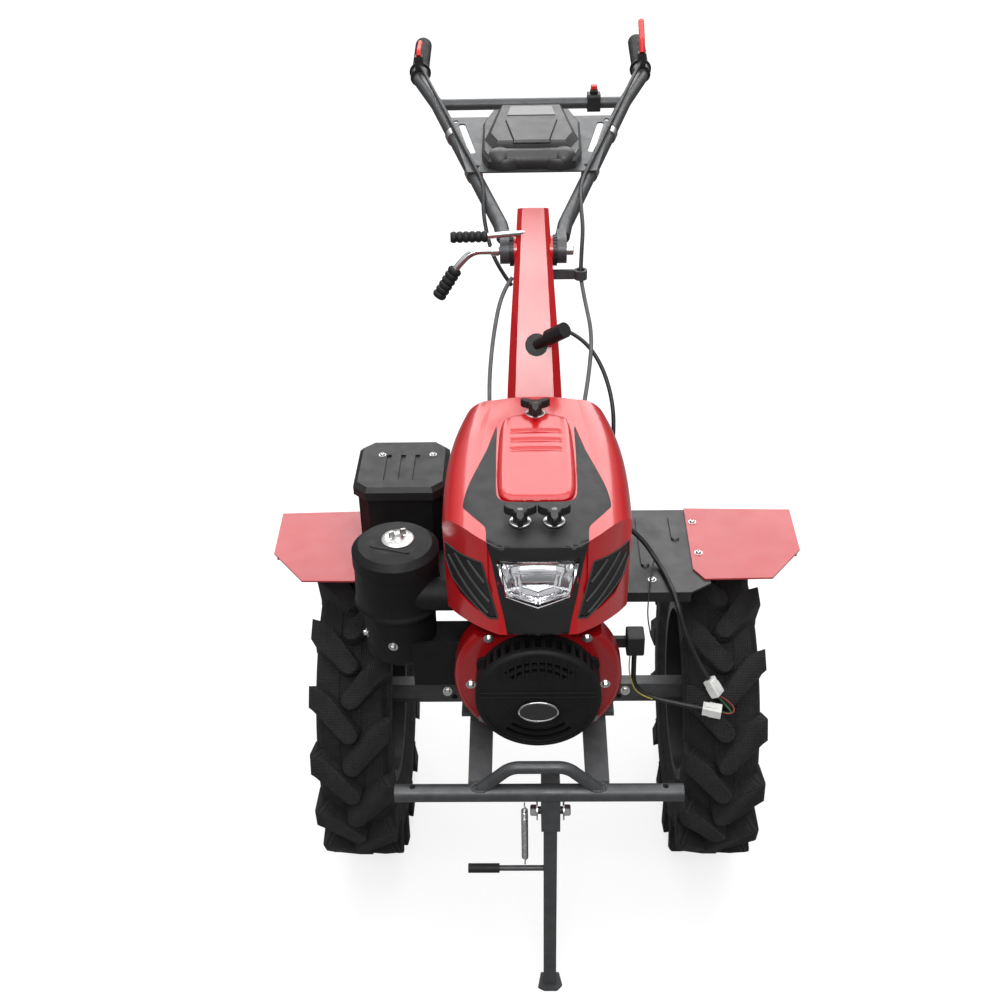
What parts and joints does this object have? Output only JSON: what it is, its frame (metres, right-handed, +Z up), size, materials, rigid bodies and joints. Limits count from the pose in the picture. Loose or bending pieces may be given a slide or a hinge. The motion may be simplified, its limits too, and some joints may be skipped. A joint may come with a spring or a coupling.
{
  "type": "walking tractor",
  "caption": "Red two-wheel walking tractor with a petrol engine under a hood, lugged tyres, a long tilting handlebar and a folding front stand.",
  "frame": {"origin": "on the floor under the middle of the outer box", "axes": "+Z up, +Y towards the handlebar grips, so the front with the headlamp faces -Y"},
  "size_m": [0.89, 1.4936, 1.2803],
  "materials": {
    "red_paint": "gloss",
    "grey_paint": "satin",
    "black_paint": "satin",
    "black_plastic": "matte",
    "tyre_rubber": "matte",
    "grip_rubber": "matte",
    "zinc": "satin",
    "chrome": "polished",
    "cast": "satin",
    "lamp_glass": "polished",
    "white_plastic": "satin",
    "cable_skin": "satin"
  },
  "bodies": {
    "chassis": {"air_filter_body": "black_plastic", "air_filter_bracket": "black_paint", "air_filter_lid": "black_plastic", "air_filter_nut": "zinc", "battery_box": "black_plastic", "battery_lid": "black_plastic", "bumper_bar": "grey_paint", "bumper_hoop": "grey_paint", "cable_bracket": "grey_paint", "carburettor": "cast", "clamp_grip": "grip_rubber", "clamp_lever": "chrome", "clutch_housing": "cast", "column": "red_paint", "engine_block": "cast", "engine_cables": "cable_skin", "fan_cover": "red_paint", "fender_arms": "black_paint", "fender_flaps": "red_paint", "fenders": "black_paint", "frame_rails": "grey_paint", "fuel_tank": "black_plastic", "gear_case": "cast", "gear_lever": "black_plastic", "headlamp_bowl": "chrome", "headlamp_lens": "lamp_glass", "hitch_bracket": "grey_paint", "hood": "red_paint", "hood_knobs": "black_plastic", "hood_panel": "black_plastic", "hood_vents": "black_plastic", "lead_connectors": "white_plastic", "lead_lower": "cable_skin", "lead_upper": "cable_skin", "muffler": "black_paint", "pivot_discs": "black_paint", "recoil_starter": "black_plastic", "relay_block": "black_plastic", "stand_bracket": "grey_paint"},
    "wheel_left": {"axle_left": "grey_paint", "hub_left": "grey_paint", "rim_left": "black_paint", "tyre_left": "tyre_rubber"},
    "wheel_right": {"axle_right": "grey_paint", "hub_right": "grey_paint", "rim_right": "black_paint", "tyre_right": "tyre_rubber"},
    "stand": {"stand_leg": "grey_paint", "stand_pedal_grip": "grip_rubber", "stand_spring": "zinc"},
    "handlebar": {"console_cover": "black_plastic", "console_plate": "grey_paint", "cross_tube": "grey_paint", "grips": "grip_rubber", "hand_levers": "red_paint", "handle_cables": "cable_skin", "handlebar_tubes": "grey_paint", "lever_brackets": "black_paint", "plate_clamps": "zinc", "stop_switch": "black_plastic"}
  },
  "joints": [
    {"name": "wheel_left_spin", "type": "hinge", "parent": "chassis", "child": "wheel_left", "pos_m": [0.308, -0.30675, 0.297], "axis": [1, 0, 0], "continuous": true},
    {"name": "wheel_right_spin", "type": "hinge", "parent": "chassis", "child": "wheel_right", "pos_m": [-0.308, -0.30675, 0.297], "axis": [1, 0, 0], "continuous": true},
    {"name": "stand_fold", "type": "hinge", "parent": "chassis", "child": "stand", "pos_m": [0.018, -0.70875, 0.405], "axis": [1, 0, 0], "range_deg": [0, 60], "deforming": ["stand_spring"]},
    {"name": "handlebar_tilt", "type": "hinge", "parent": "chassis", "child": "handlebar", "pos_m": [0, -0.06275, 1.062], "axis": [1, 0, 0], "range_deg": [-20, 5], "deforming": ["handle_cables"]}
  ]
}
